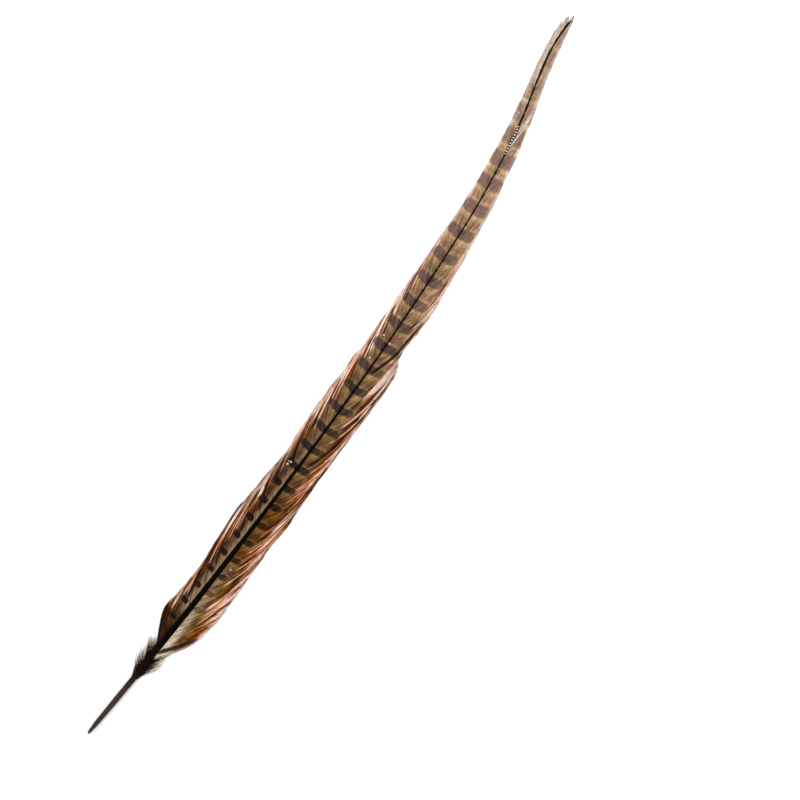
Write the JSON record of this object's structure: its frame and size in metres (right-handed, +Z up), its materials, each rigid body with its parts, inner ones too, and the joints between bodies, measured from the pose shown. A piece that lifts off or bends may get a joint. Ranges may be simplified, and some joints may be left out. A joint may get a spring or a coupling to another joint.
{
  "type": "pheasant tail feather",
  "caption": "Long, slim barred tail feather with a bare quill, downy tufts at the base of its two vanes and a narrow faded tip, lying flat.",
  "frame": {"origin": "on the surface that the feather lies on, below the middle of its bounding box", "axes": "+Y from the quill's end to the feather's tip, +X to the feather's right seen from above, +Z up, away from the surface, with the feather's upper side up"},
  "size_m": [0.0368, 0.498, 0.005],
  "materials": {
    "vane": "satin, barred golden brown barbs with rusty pink edges",
    "shaft": "satin, near-black horny quill and rachis",
    "down": "matte, loose buff down with dark roots"
  },
  "bodies": {
    "root": {"feather": "vane"}
  },
  "joints": []
}
